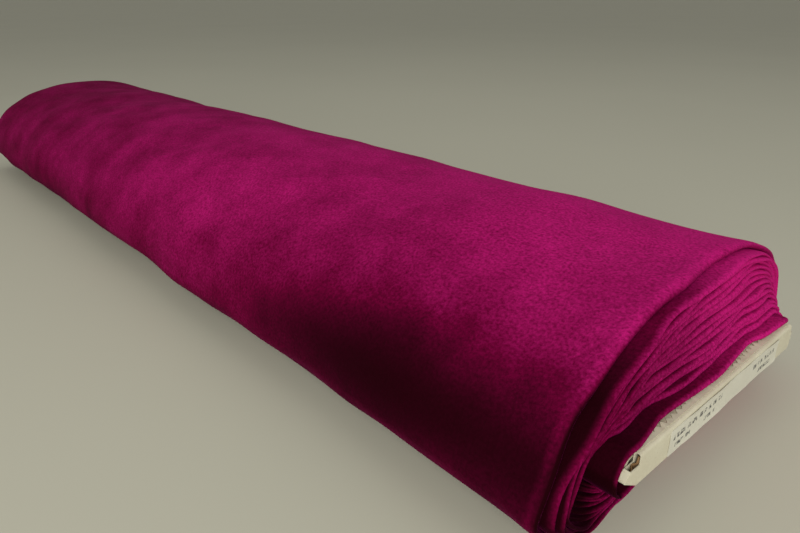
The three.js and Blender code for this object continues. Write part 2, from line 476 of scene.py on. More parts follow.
cloth = {
    "turns": 15,
    "pair": 1.0 * mm,  # two leaves pressed together, the least room that a turn has
    "fill": 0.94,  # share of its room that a turn of lofty pile takes
    "bulk": 31 * mm,  # how far the winding reaches past the board's long edges
    "crown": 50 * mm,  # and how far it rises over the board
    "flatBed": 40 * mm,  # half the width that lies flat on the floor
    "widestHeight": 25 * mm,
    "edgeRound": 6 * mm,  # bend of the first turn round the board's edge
    "edgeSlack": 2 * mm,
    "firstGap": 0.85 * mm,
    "rounding": 1.2,  # above 1, the flat runs keep their width for longer
    "width": 1.5,  # cut width, folded double
    "splitQuarter": 54,  # the last turn and a quarter is a piece of its own
    "lastQuarter": 59,
    "lastTurnFrom": (54.6, 55.4),  # quarters over which the last turn's own shape begins
    "arcSteps": 48,
    "capSteps": 8,
    "floorGap": 0.25 * mm,
    "slit": 0.03,  # half the gap between the two leaves, as a share of the thickness
    "slitEnd": 0.989,  # how far along the length the gap reaches
}
halfBoard = sleeveHigh.y
boardFoot, boardTop = sleeveLow.z, sleeveHigh.z
lastBed = cloth["turns"] * 4 - 2


def sideAt(share):
    return mix(halfBoard + cloth["edgeSlack"], halfBoard + cloth["bulk"] - cloth["pair"], share)


def widestAt(share):
    return mix((boardFoot + boardTop) / 2, cloth["widestHeight"], share)


def topAt(share):
    return mix(boardTop + cloth["firstGap"], boardTop + cloth["crown"] - cloth["pair"], share)


def bottomAt(share):
    return mix(boardFoot - cloth["firstGap"], cloth["pair"], share)


def flatAt(share, last):
    return mix(sideAt(0) - cloth["edgeRound"], last, share ** cloth["rounding"])


def windingPath():
    # nested ovals: quarter ellipses joined by flat runs over and under the board; each turn has
    # the same number of steps, so the same step of the next turn lies straight outside this one
    steps = cloth["arcSteps"]
    points, normals, quarterOf = [], [], []

    def flatRun(fromPoint, toPoint, normal, quarter):
        share = np.linspace(0, 1, steps, endpoint=False)[:, None]
        points.append(fromPoint + (toPoint - fromPoint) * share)
        normals.append(np.repeat([normal], steps, axis=0))
        quarterOf.append(np.full(steps, float(quarter)))

    previous = np.array([flatAt(0, 0), topAt(0)])
    for quarter in range(cloth["lastQuarter"] + 1):
        phase = quarter % 4
        level = (quarter + (1 if phase % 2 else 0)) / lastBed
        side = (quarter + (0 if phase % 2 else 1)) / lastBed
        upper, sign = phase in (0, 3), -1 if phase < 2 else 1
        flat = flatAt(level, 0 if upper else cloth["flatBed"])
        reach = sideAt(side) - flat
        rise = (topAt(level) if upper else bottomAt(level)) - widestAt(side)
        along = np.linspace(0, 1, steps, endpoint=False)
        angle = (along if phase % 2 else 1 - along) * turn / 4
        y = sign * (flat + reach * np.cos(angle))
        z = widestAt(side) + rise * np.sin(angle)
        normal = np.stack([sign * np.cos(angle) / reach, np.sin(angle) / rise], axis=1)
        normal /= np.linalg.norm(normal, axis=1)[:, None]
        start = np.array([y[0], z[0]])
        if phase % 2 == 0:
            flatRun(previous, start, [0.0, 1.0 if upper else -1.0], quarter)
        points.append(np.stack([y, z], axis=1))
        normals.append(normal)
        quarterOf.append(quarter + along)
        endAngle = (1 if phase % 2 else 0) * turn / 4
        previous = np.array([
            sign * (flat + reach * math.cos(endAngle)),
            widestAt(side) + rise * math.sin(endAngle),
        ])
    return np.concatenate(points), np.concatenate(normals), np.concatenate(quarterOf)


def clothBand():
    # each turn's inner face is drawn in by what it is thicker than the pressed pair, more and more
    # towards the outside, so that the last turn's outer face keeps the bolt's own outline
    points, normals, quarterOf = windingPath()
    period = cloth["arcSteps"] * 6
    room = np.empty(len(points))
    room[:-period] = ((points[period:] - points[:-period]) * normals[:-period]).sum(axis=1)
    room[-period:] = room[-2 * period:-period]
    share = quarterOf / lastBed
    excess = room - cloth["pair"]
    inner = points - normals * (excess * share)[:, None]
    thickness = cloth["fill"] * (room - excess / (cloth["turns"] - 0.5))
    lengths = np.linalg.norm(np.diff(inner + normals * (thickness / 2)[:, None], axis=0), axis=1)
    run = np.concatenate([[0], np.cumsum(lengths)])
    return {"inner": inner, "normal": normals, "thickness": thickness, "quarter": quarterOf,
            "run": run}


def resampled(band, fromQuarter, toQuarter, longest, bend):
    # stations along the winding: one at least every longest metres and every bend radians
    heading = np.unwrap(np.arctan2(band["normal"][:, 1], band["normal"][:, 0]))
    effort = np.abs(np.diff(band["run"])) / longest + np.abs(np.diff(heading)) / bend
    effort = np.concatenate([[0], np.cumsum(effort)])
    first = np.searchsorted(band["quarter"], fromQuarter)
    last = min(np.searchsorted(band["quarter"], toQuarter), len(effort) - 1)
    count = int(math.ceil(effort[last] - effort[first])) + 1
    wanted = np.linspace(effort[first], effort[last], count)
    place = np.interp(wanted, effort, np.arange(len(effort)))
    steps = np.arange(len(effort))
    out = {}
    for key, values in band.items():
        if values.ndim == 1:
            out[key] = np.interp(place, steps, values)
        else:
            out[key] = np.stack([np.interp(place, steps, values[:, k]) for k in (0, 1)], axis=1)
    out["normal"] /= np.linalg.norm(out["normal"], axis=1)[:, None]
    return out


# The reaches are (place across the bolt, how far the fold stands past the end of the CAD cloth),
# in millimetres. A facing is four headings: begins, full, leaves and gone.
foldEdge = {
    "firstReach": [(-110, 11.0), (-90, 12.0), (-78, 16.0), (-65, 16.0), (-45, 12.5), (0, 15.0),
                   (38, 11.5), (48, 14.5), (75, 15.5), (90, 13.0)],
    "innerReach": [(-110, 4.5), (-88, 3.5), (-78, 6.0), (-65, 9.4), (-45, 7.4), (0, 9.8),
                   (38, 8.0), (48, 10.0), (75, 9.5), (110, 5.0)],
    "outerReach": [(-110, 11.5), (-55, 9.0), (0, 6.0), (110, -0.5)],
    "lastReach": [(-110, 6.5), (-100, 5.0), (-88, 3.0), (-54, 2.5), (0, 0.5), (110, -1.0)],
    "firstTurnEnds": (2.6, 4.2),  # quarters over which the first turn meets the next ones
    "outerFrom": 0.75,  # share of the winding at which the outer line is reached
    "hollow": 11 * mm,  # how far back the inner turns lie on the lower left
    "hollowFacing": (150, 190, 225, 262),
    "hollowFades": (0.45, 0.72),
    "underneath": 3.0 * mm,  # how far back the folds below the board lie
    "belowFacing": (235, 262, 300, 340),
    "belowFrom": (-0.09, -0.05),
    "innerCap": 1.5 * mm,  # how far a fold rounds back
    "outerCap": 6.0 * mm,
    "capGrows": (0.86, 0.97),
    "stagger": 0.55 * mm,
    "staggerWaves": (11, 10, 0.03, 0.16),  # seed, how many, shortest and longest
    "staggerTurn": 0.05,
    "selvedgeStagger": 2.0 * mm,
    "outerLeafWaves": (21, 8, 0.12, 0.6),
    "innerLeafWaves": (22, 8, 0.12, 0.6),
}


def headingOf(band):
    # which way the cloth faces, in degrees: 0 is +Y, 90 is up and 180 is -Y
    return np.mod(np.degrees(np.arctan2(band["normal"][:, 1], band["normal"][:, 0])), 360)


def facing(band, begins, full, leaves, gone):
    # 1 where the heading is from full to leaves, and 0 before begins and past gone
    heading = headingOf(band)
    return softStep(heading, begins, full) * (1 - softStep(heading, leaves, gone))


def lastTurn(band):
    # 0 in the turns beneath and 1 in the last one
    return softStep(band["quarter"], *cloth["lastTurnFrom"])


def reachAt(name, y):
    # a line through the dictionary's places across the bolt
    place, reach = np.array(foldEdge[name]).T
    return np.interp(y, place * mm, reach * mm)


def nearEdge(band):
    # where each turn's fold lies along X: the first turn stands out past the next, from there the
    # folds pass evenly into a slanting outer line, and a smooth stagger shifts them all
    quarter, y = band["quarter"], band["inner"][:, 0]
    share = quarter / lastBed
    outward = softStep(share, 0.0, foldEdge["outerFrom"])
    rest = mix(reachAt("innerReach", y), reachAt("outerReach", y), outward)
    hollow = facing(band, *foldEdge["hollowFacing"])
    hollow = hollow * (1 - softStep(share, *foldEdge["hollowFades"]))
    below = facing(band, *foldEdge["belowFacing"]) * softStep(y, *foldEdge["belowFrom"])
    rest = rest - foldEdge["hollow"] * hollow - foldEdge["underneath"] * below
    rest = mix(rest, reachAt("lastReach", y), lastTurn(band))
    stagger = waves(*foldEdge["staggerWaves"], band["run"], quarter * foldEdge["staggerTurn"])
    rest = rest + stagger * foldEdge["stagger"]
    firstTurn = 1 - softStep(quarter, *foldEdge["firstTurnEnds"])
    return clothHigh.x + mix(rest, reachAt("firstReach", y), firstTurn)


def foldCap(band):
    # how far a turn's fold rounds back: short inside the bolt, long and soft outside
    share = band["quarter"] / lastBed
    return mix(foldEdge["innerCap"], foldEdge["outerCap"], softStep(share, *foldEdge["capGrows"]))


bodyShape = {
    "crumple": 0.55 * mm,
    "crumpleWaves": (3, 14, 0.09, 0.30),
    "ripple": 0.22 * mm,
    "rippleWaves": (5, 14, 0.025, 0.07),
    "around": 0.12,  # radius that the waves take the winding to have
    "full": 0.9 * mm,
    "crownFull": 1.3 * mm,
    "nearSag": 4.6 * mm,
    "nearSagLength": 0.12,
    "shoulder": 4.3 * mm,
    "shoulderLength": 0.06,
    "farHump": 1.5 * mm,
    "farHumpLength": 0.05,
    "humpLeft": 1.9,  # how much more the hump drops towards the left
    "floorFacing": (0.5, 0.95),  # how far down a face looks where the floor holds it flat
    "ridge": 0.20 * mm,  # uneven spacing of the turns where their folds show
    "ridgeWaves": (31, 10, 0.03, 0.12),
    "ridgeLength": 0.025,
    "flare": 2.4 * mm,  # how far the last turn's loose fold swells outwards
    "flareFrom": (0.93, 0.965),
    "flareLength": 0.014,
    "press": 1.3 * mm,  # how far the turns beneath lie in from the last one, away from the folds
    "pressFromFold": (0.01, 0.05),
    "pressFromSelvedge": (0.004, 0.03),
}


def bodyOffset(x, band, pressed):
    # how far the winding stands off its plain oval, along the outward direction: soft crumples
    # all over, a sag of the top near the folds, a fuller right shoulder and a low far hump
    shape = bodyShape
    ny, nz = band["normal"][:, :1], band["normal"][:, 1:]
    angle = np.mod(band["quarter"], 4)[:, None] * turn / 4
    around = np.sin(angle) * shape["around"], np.cos(angle) * shape["around"]
    share = (band["quarter"] / lastBed)[:, None]
    crumple = waves(*shape["crumpleWaves"], x, *around) * shape["crumple"]
    ripple = waves(*shape["rippleWaves"], x, *around) * shape["ripple"] * (1 - pressed)
    up, right = np.clip(nz, 0, 1), np.clip(ny, 0, 1)
    near, far = clothHigh.x - x, x - clothLow.x
    sag = -shape["nearSag"] * softStep(-near, -shape["nearSagLength"], 0) * up
    shoulder = shape["shoulder"] * np.exp(-(near / shape["shoulderLength"]) ** 2)
    shoulder = shoulder * right * up * 2
    lean = np.clip(up - np.clip(-ny, 0, 1) * shape["humpLeft"], -1, 1)
    hump = shape["farHump"] * np.exp(-(far / shape["farHumpLength"]) ** 2) * lean
    offFloor = 1 - softStep(-nz, *shape["floorFacing"])
    middle = np.sin(np.clip(far / (clothHigh.x - clothLow.x), 0, 1) * turn / 2)
    full = shape["full"] * offFloor + shape["crownFull"] * up * middle
    return ((crumple + ripple) * offFloor + sag + shoulder + hump + full) * share


def hairpin(stations, slitShares):
    # the loop that is carried round the winding, in two leaves joined by a fold at the near end:
    # share of the length, cap reach, place across the thickness, 1 outside and 0 inside, and how
    # far round the cap, in radians
    angles = np.linspace(0, turn / 2, cloth["capSteps"])[1:-1]
    straight, slit = np.zeros(len(stations)), np.ones(len(slitShares))
    along = np.concatenate([stations, np.ones(len(angles) + 1), stations[::-1],
                            slitShares, [cloth["slitEnd"]], slitShares[::-1]])
    reach = np.concatenate([straight, np.sin(angles), [0.0], straight, slit * 0, [0.0], slit * 0])
    across = np.concatenate([straight + 1, 0.5 + 0.5 * np.cos(angles), [0.0], straight,
                             slit * (0.5 - cloth["slit"]), [0.5], slit * (0.5 + cloth["slit"])])
    past = np.full(len(along) - len(straight) - len(angles), turn / 2)
    return along, reach, across, np.concatenate([straight, angles, past])


def clothPoints(band, stations, slitShares, pressed):
    # points: along X between the selvedges and the fold, and outwards from the inner face by a
    # share of the thickness, the body's offset, the ridges of the folds and the last turn's flare
    shape, run, share = bodyShape, band["run"], (band["quarter"] / lastBed)[:, None]
    along, reach, across, cap = (values[None, :] for values in hairpin(stations, slitShares))
    near, capLength = nearEdge(band)[:, None], foldCap(band)[:, None]
    leaf = np.where(across > 0.5, waves(*foldEdge["outerLeafWaves"], run)[:, None],
                    waves(*foldEdge["innerLeafWaves"], run)[:, None])
    far = clothLow.x + foldEdge["selvedgeStagger"] * (1 + 0.5 * leaf)
    x = far + (near - capLength - far) * along + capLength * reach
    back = np.clip(near - x, 0, 1)
    ridge = shape["ridge"] * np.exp(-back / shape["ridgeLength"])
    ridge = waves(*shape["ridgeWaves"], run)[:, None] * ridge
    flare = shape["flare"] * softStep(share, *shape["flareFrom"]) * across
    flare = flare * np.exp(-back / shape["flareLength"])
    press = shape["press"] * pressed * share ** 3 * softStep(near - x, *shape["pressFromFold"])
    press = press * softStep(x - far, *shape["pressFromSelvedge"])
    offset = band["thickness"][:, None] * across + bodyOffset(x, band, pressed)
    offset = offset + ridge + flare - press
    y = band["inner"][:, :1] + band["normal"][:, :1] * offset
    z = np.maximum(band["inner"][:, 1:] + band["normal"][:, 1:] * offset, cloth["floorGap"])
    return np.stack([x, y, z], axis=2), reach, cap


def clothPiece(name, band, stations, slitShares, pressed):
    rings, reach, cap = clothPoints(band, stations, slitShares, pressed)
    # painted light and shade for each point of the cloth
    nap = clothPaintedShading(band, rings[:, :, 0], reach, cap)
    shells = [(*closedTube(rings, False), 0)]
    made = makePiece(name, shells, [velourCloth], attributes={"nap": nap})
    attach(made, "bolt")
    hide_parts("velour_cloth")


# Painted light and shade on the pile: 0 is its painted shadow and 1 its painted full light. It swings
# with the cloth's heading (0 faces +Y, 90 up, 180 -Y), painting the top lighter, and rises towards
# the near end, most on the right shoulder. The left side is painted dark over the near third.
paintedShadingShape = {
    "middle": 0.26,
    "topSwing": 0.24,
    "nearRise": 0.4,  # for each metre
    "shoulderRise": 0.45,  # for each metre, at the shoulder's heading
    "shoulderHeading": 45,
    "leftShade": 0.52,
    "leftHeading": 148,
    "leftSpread": 38,
    "leftFrom": 0.1,
    "leftTo": 0.3,
    "crest": 0.34,  # painted highlight on the folds
    "lastCrest": 0.10,  # and a painted highlight on the edge of the last, loose fold
    "crestAt": 0.55,  # this far round the cap, in radians
    "crestSpread": 0.3,
    "tipShade": 0.30,  # painted shade over the fold's tip
    "tipShadeFrom": (0.8, 1.6),
    "hollow": 0.30,  # painted shade deep between the turns on the lower left
    "hollowFacing": (165, 200, 235, 262),
    "hollowFades": (0.6, 0.8),
    "hollowCrest": 0.8,  # how much of the crests' painted highlight the painted shade in the hollow takes
}

# Across the near end the folds are painted dark on the left and painted light on the right. Each pair
# holds the first turn's value and the last turn's: where the change is half done, and how wide it is.
foldPaintedShading = {
    "half": (47 * mm, -15 * mm),
    "width": (220 * mm, 110 * mm),
    "least": -0.1,
    "most": 1.0,
}


def paintedShadingAt(band, x):
    # painted light and shade of the body: the middle, plus a swing by the cosine from straight up,
    # plus x times its rise, less a painted shade that is a bell round the left side's heading
    shape, heading = paintedShadingShape, headingOf(band)[:, None]
    swing = shape["topSwing"] * np.cos(np.radians(heading - 90))
    rise = shape["shoulderRise"] * np.cos(np.radians(heading - shape["shoulderHeading"]))
    bell = np.exp(-((heading - shape["leftHeading"]) / shape["leftSpread"]) ** 2)
    shade = shape["leftShade"] * bell * softStep(x, shape["leftFrom"], shape["leftTo"])
    return shape["middle"] + swing + x * (shape["nearRise"] + rise) - shade


def foldPaintedShadingAt(band):
    # painted shade to light: a straight ramp across the bolt, its middle and width from the first
    # turn's to the last's
    share = band["quarter"] / cloth["lastQuarter"]
    half, width = (mix(*foldPaintedShading[key], share) for key in ("half", "width"))
    ramp = 0.5 + (band["inner"][:, 0] - half) / width
    return np.clip(ramp, foldPaintedShading["least"], foldPaintedShading["most"])


def clothPaintedShading(band, x, reach, cap):
    # painted light and shade: the turns beneath take the folds' ramp, with painted shade in the
    # hollow and painted highlights on the crests; the last turn takes the body's, bright at its edge,
    # dark at its tip
    shape, share = paintedShadingShape, (band["quarter"] / lastBed)[:, None]
    hollow = facing(band, *shape["hollowFacing"])[:, None]
    folds = foldPaintedShadingAt(band)[:, None]
    folds = folds - shape["hollow"] * hollow * (1 - softStep(share, *shape["hollowFades"]))
    folds = folds + shape["crest"] * reach * (1 - hollow * shape["hollowCrest"])
    edge = np.exp(-((cap - shape["crestAt"]) / shape["crestSpread"]) ** 2) * (cap > 0)
    tip = softStep(cap, *shape["tipShadeFrom"])
    body = paintedShadingAt(band, x) + shape["lastCrest"] * edge - shape["tipShade"] * tip
    return mix(folds, body, lastTurn(band)[:, None])


# Stations are shares of the length from the selvedges to the fold, closer together near both.
def fromFold(*millimetres):
    return 1 - np.array(millimetres) * mm / (cloth["width"] / 2)


innerStations = np.concatenate([
    [0, 0.004, 0.015, 0.035, 0.06, 0.09, 0.14, 0.22, 0.34, 0.46, 0.58, 0.70, 0.79],
    fromFold(110, 60, 36, 24, 16, 11, 7, 4.2, 2, 0),
])
outerStations = np.concatenate([
    [0, 0.002, 0.006],
    np.linspace(0.012, 0.962, 105),
    fromFold(24, 20, 16, 13, 10, 7.5, 5, 2.5, 0),
])
innerSlit = np.array([0.0, 0.25, 0.6, 0.95, 0.985])
outerSlit = np.append(outerStations[:112:4], 0.985)
winding = clothBand()
split, end = cloth["splitQuarter"], cloth["lastQuarter"]
innerBand = resampled(winding, 0, split, longest=0.0062, bend=0.17)
outerBand = resampled(winding, split, end, longest=0.0034, bend=0.08)
clothPiece("velourInnerTurns", innerBand, innerStations, innerSlit, pressed=1.0)
clothPiece("velourOuterTurn", outerBand, outerStations, outerSlit, pressed=0.0)
print("cloth wound")


board = {
    "liner": 0.38 * mm,
    "flutePaper": 0.26 * mm,
    "wall": 2.8 * mm,
    "pitch": 6.5 * mm,
    "lean": 5 * mm,  # the top panel starts this far in from the left edge
    "tipInset": 1.25,  # how far an inset moves the crushed left edge's tip and its foot
    "footInset": 0.4,
    "cornerRadius": 3 * mm,
    "innerRadius": 1.2 * mm,
    "fluteRadius": 2 * mm,
    "flutePoints": 700,
    "fluteShort": 0.3 * mm,  # the fluting stops this far inside the ends
}

coreInsert = {
    "slack": 0.6 * mm,  # room over its two plies
    "edgeIn": 0.3 * mm,
    "flatPoints": 60,
    "bendPoints": 40,
    "flutePoints": 900,
}


endFlap = {
    "notchWidth": 4.5 * mm,
    "notchHeight": 4.2 * mm,
    "crushedTip": 5.5 * mm,  # height of the left edge's tip over the foot, where it is crushed
    "crushedFoot": 8.9 * mm,  # how far in the foot starts
    "cornerCut": 1.6 * mm,
    "footWrap": 0.62,  # share of the crushed foot that the edge's liner leaves open
    "edgePoints": 14,
    "upPoints": 6,
    "creasePoints": 20,
    "pointsPerFlute": 24,
    "fluteLeft": 1.4 * mm,  # the fluting's distances from the edges
    "fluteRight": 0.8 * mm,
    "fluteShort": 0.2 * mm,
}


def offsetOutline(inset, radius, steps=8):
    # the board's section drawn in by an inset: five corners joined by straight runs, each corner
    # a curve that leaves one run and meets the next at the radius from the corner
    low, high = boardFoot + inset, boardTop - inset
    tipHeight, footIn = endFlap["crushedTip"], endFlap["crushedFoot"]
    tipY = -halfBoard + inset * board["tipInset"]
    tipZ = boardFoot + tipHeight
    leftHigh = -halfBoard + board["lean"] + inset
    footY = -halfBoard + footIn + inset * board["footInset"]
    corners = np.array([[tipY, tipZ], [footY, low], [halfBoard - inset, low],
                        [halfBoard - inset, high], [leftHigh, high]])
    before, after = np.roll(corners, 1, axis=0), np.roll(corners, -1, axis=0)
    toBefore = (before - corners) / np.linalg.norm(before - corners, axis=1)[:, None]
    toAfter = (after - corners) / np.linalg.norm(after - corners, axis=1)[:, None]
    share = np.linspace(0, 1, steps)[None, :, None]
    start, end = corners + toBefore * radius, corners + toAfter * radius
    curve = start[:, None] * (1 - share) ** 2 + 2 * corners[:, None] * share * (1 - share)
    return (curve + end[:, None] * share ** 2).reshape(-1, 2)


def evenly(outline, count, closed):
    # points at even distances along an outline
    if closed:
        outline = np.vstack([outline, outline[:1]])
    run = np.concatenate([[0], np.cumsum(np.linalg.norm(np.diff(outline, axis=0), axis=1))])
    wanted = np.linspace(0, run[-1], count, endpoint=not closed)
    return np.stack([np.interp(wanted, run, outline[:, k]) for k in (0, 1)], axis=1), run[-1]


def normalsOf(path, closed):
    # unit normals of a path in a plane, to the right of its direction
    if closed:
        ahead = np.roll(path, -1, axis=0) - np.roll(path, 1, axis=0)
    else:
        ahead = np.gradient(path, axis=0)
    normal = np.stack([ahead[:, 1], -ahead[:, 0]], axis=1)
    return normal / np.linalg.norm(normal, axis=1)[:, None]


def strip(path, halfThickness, ends, closed, shape):
    # a thin sheet: the path thickened both ways along its normals and carried between two ends;
    # shape turns (path point, end) into a point in space
    normal = normalsOf(path, closed)
    left, right = path + normal * halfThickness, path - normal * halfThickness
    corners = [shape(left, ends[0]), shape(left, ends[1]), shape(right, ends[1]),
               shape(right, ends[0])]
    return closedTube(np.stack(corners, axis=1), closed)


def fluted(path, total, closed, amplitude):
    # the centreline with a sine wave along its normal, a whole number of waves
    count = max(3, round(total / board["pitch"]))
    share = np.linspace(0, 1, len(path), endpoint=not closed)
    return path + normalsOf(path, closed) * (amplitude * np.sin(turn * count * share))[:, None]


def yzAt(path, x):
    return np.stack([np.full(len(path), x), path[:, 0], path[:, 1]], axis=1)


def xzAt(path, y):
    return np.stack([path[:, 0], np.full(len(path), y), path[:, 1]], axis=1)


def boardSleevePiece():
    # a closed ring of corrugated board: outer liner, sine fluting and inner liner
    ends = (sleeveLow.x, sleeveHigh.x)
    half, wall = board["liner"] / 2, board["wall"]
    shells = []
    for inset, radius in ((half, board["cornerRadius"]), (wall - half, board["innerRadius"])):
        shells.append((*strip(offsetOutline(inset, radius), half, ends, True, yzAt), 0))
    outline = offsetOutline(wall / 2, board["fluteRadius"], 12)
    middle, total = evenly(outline, board["flutePoints"], True)
    wave = fluted(middle, total, True, wall / 2 - board["liner"] - board["flutePaper"] / 2)
    within = (ends[0] + board["fluteShort"], ends[1] - board["fluteShort"])
    shells.append((*strip(wave, board["flutePaper"] / 2, within, True, yzAt), 1))
    made = makePiece("boardSleeve", shells, [shadedTanLiner, kraftFluting])
    settle(made, "bolt", "board_sleeve")


def coreInsertPiece():
    # a second corrugated sheet folded once along its length, open edge to the left
    low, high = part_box("core_insert")
    ply = (high.z - low.z - coreInsert["slack"]) / 2
    left, right = low.y + coreInsert["edgeIn"], high.y
    radius = (high.z - low.z - ply) / 2
    angle = np.linspace(-turn / 4, turn / 4, coreInsert["bendPoints"])
    bendY = right - ply / 2 - radius + radius * np.cos(angle)
    bendZ = (high.z + low.z) / 2 + radius * np.sin(angle)
    flat = np.linspace(left, bendY[0], coreInsert["flatPoints"], endpoint=False)
    path = np.stack([
        np.concatenate([flat, bendY, flat[::-1]]),
        np.concatenate([np.full(len(flat), bendZ[0]), bendZ, np.full(len(flat), bendZ[-1])]),
    ], axis=1)
    middle, total = evenly(path, coreInsert["flutePoints"], False)
    half, ends = board["liner"] / 2, (low.x, high.x)
    offset = normalsOf(middle, False) * (ply / 2 - half)
    shells = [(*strip(middle + offset * side, half, ends, False, yzAt), 0) for side in (-1, 1)]
    wave = fluted(middle, total, False, ply / 2 - board["liner"] - board["flutePaper"] / 2)
    within = (ends[0] + board["fluteShort"], ends[1] - board["fluteShort"])
    shells.append((*strip(wave, board["flutePaper"] / 2, within, False, yzAt), 1))
    made = makePiece("coreInsert", shells, [kraftFluting, kraftFluting])
    settle(made, "bolt", "core_insert")


boardSleevePiece()
coreInsertPiece()
print("board made")


def flapPiece(name, node, body, low, high, side):
    # a flap of corrugated board folded down from the top panel: its liner goes up the outside,
    # over a round crease and down the inside; the corners at the crease are cut back, and the
    # left edge runs out to a crushed tip
    crease = board["wall"] / 2
    axisX = (high.x if side > 0 else low.x) - side * crease
    axisZ = high.z - crease
    foot, half = low.z, board["liner"] / 2
    notchZ = high.z - endFlap["notchHeight"]
    leftNotch = -halfBoard + board["lean"] + endFlap["notchWidth"]
    rightNotch = halfBoard - endFlap["notchWidth"] / 2
    tip = np.array([-halfBoard, foot + endFlap["crushedTip"]])
    footLeft = np.array([-halfBoard + endFlap["crushedFoot"], foot])
    shoulderY = -halfBoard + board["lean"] * (notchZ - foot) / (high.z - foot)
    cut = endFlap["cornerCut"]
    leftOutline = np.array([tip, footLeft, [leftNotch, foot], [leftNotch, notchZ],
                            [shoulderY, notchZ]])
    rightOutline = np.array([[rightNotch, foot], [halfBoard - cut, foot],
                             [halfBoard, foot + cut], [halfBoard, notchZ], [rightNotch, notchZ]])
    # a strip of liner on each face beside the notches
    shells = []
    for outline in (leftOutline, rightOutline):
        for where in (1, -1):
            x = axisX + side * where * (crease - half)
            rings = np.stack([
                np.column_stack([np.full(len(outline), x + half * s), outline]) for s in (-1, 1)
            ])
            shells.append((*closedTube(rings, False), 0))
    # liner wrapped round the two side edges
    leftEdge = np.array([mix(tip, footLeft, endFlap["footWrap"]), tip, [shoulderY, notchZ]])
    leftEdge[:, 0] += half
    rightEdge = np.array([[halfBoard, notchZ], [halfBoard, foot + cut], [halfBoard - cut, foot]])
    rightEdge[:, 0] -= half
    reachX = (axisX - crease + half, axisX + crease - half)
    for edge in (leftEdge, rightEdge):
        path = evenly(edge, endFlap["edgePoints"], False)[0]
        shells.append((*strip(path, half, reachX, False, yzAt), 0))
    # liner up the outside, over the crease and down the inside, between the notches
    angle = np.linspace(0, turn / 2, endFlap["creasePoints"])
    radius, ups = crease - half, endFlap["upPoints"]
    profile = np.stack([
        axisX + side * np.concatenate([[radius] * ups, radius * np.cos(angle), [-radius] * ups]),
        np.concatenate([np.linspace(foot, axisZ, ups, endpoint=False), axisZ + radius * np.sin(angle),
                        np.linspace(axisZ, foot, ups + 1)[1:]]),
    ], axis=1)
    shells.append((*strip(profile, half, (leftNotch, rightNotch), False, xzAt), 0))
    # fluting, lower at both sides where the notches and the crushed edge are
    count = round((rightNotch - leftNotch) / board["pitch"])
    ys = np.linspace(-halfBoard + endFlap["fluteLeft"], halfBoard - endFlap["fluteRight"],
                     endFlap["pointsPerFlute"] * count)
    amplitude = crease - board["liner"] - board["flutePaper"] / 2
    waveX = axisX + amplitude * np.sin(turn * (ys - leftNotch) / board["pitch"])
    wave = np.stack([waveX, ys], axis=1)
    wide = normalsOf(wave, False) * board["flutePaper"] / 2
    inMiddle = (ys > leftNotch) & (ys < rightNotch)
    leaning = mix(tip[1], notchZ, np.clip((ys - tip[0]) / (shoulderY - tip[0]), 0, 1))
    tops = np.where(inMiddle, axisZ, leaning) - endFlap["fluteShort"]
    crushed = mix(tip[1], foot, np.clip((ys - tip[0]) / endFlap["crushedFoot"], 0, 1))
    lows = crushed + endFlap["fluteShort"]
    rings = np.stack([
        np.column_stack([wave + wide, lows]), np.column_stack([wave + wide, tops]),
        np.column_stack([wave - wide, tops]), np.column_stack([wave - wide, lows]),
    ], axis=1)
    shells.append((*closedTube(rings, False), 1))
    made = makePiece(name, shells, [whiteLiner, kraftFluting])
    settle(made, body, node)
    tornCreasePiece(name + "TornCrease", leftNotch, rightNotch, axisX, high.z, side)


# A set of waves is its seed, how many, the shortest and the longest.
tornCrease = {
    "endIn": 0.3 * mm,
    "points": 865,
    "width": 1.9 * mm,
    "widthDrift": 0.25 * mm,
    "driftWaves": (42, 5, 0.02, 0.08),
    "teeth": 4.1 * mm,
    "toothHeight": 2.1 * mm,
    "toothUneven": 0.22,
    "toothWaves": (41, 6, 0.005, 0.03),
    "lift": 0.10 * mm,
    "liftWaves": (43, 6, 0.006, 0.03),
    "fromAxis": 0.15 * mm,
    "gap": 0.02 * mm,
    "top": 0.28 * mm,
}


def tornCreasePiece(name, leftNotch, rightNotch, axisX, topZ, side):
    # the liner of the flap tears off along its perforation and leaves a row of teeth lying on
    # the top panel: straight towards the flap, a sawtooth towards the cloth
    shape = tornCrease
    ys = np.linspace(leftNotch + shape["endIn"], rightNotch - shape["endIn"], shape["points"])
    saw = np.abs(np.mod(ys / shape["teeth"], 1) - 0.5) * 2
    uneven = 1 + shape["toothUneven"] * waves(*shape["toothWaves"], ys)
    back = shape["width"] + saw * uneven * shape["toothHeight"]
    back = back + shape["widthDrift"] * waves(*shape["driftWaves"], ys)
    lift = shape["lift"] * (1 + waves(*shape["liftWaves"], ys)) * saw
    outer = np.full(len(ys), axisX - side * shape["fromAxis"])
    inner = axisX - side * back
    low, top = topZ + shape["gap"], topZ + shape["top"]
    zero = np.zeros(len(ys))
    rings = np.stack([
        np.column_stack([outer, ys, zero + low]), np.column_stack([outer, ys, zero + top]),
        np.column_stack([inner, ys, lift + top]), np.column_stack([inner, ys, lift + low]),
    ], axis=1)
    made = makePiece(name, [(*closedTube(rings, False), 0)], [whiteLiner])
    settle(made, "bolt", sharp=40)


tongue = {
    "bendPoints": 14,
    "flatPoints": 5,
    "fluteIn": 0.3 * mm,
    "flutePoints": 460,
    "fluteShort": 0.2 * mm,
}


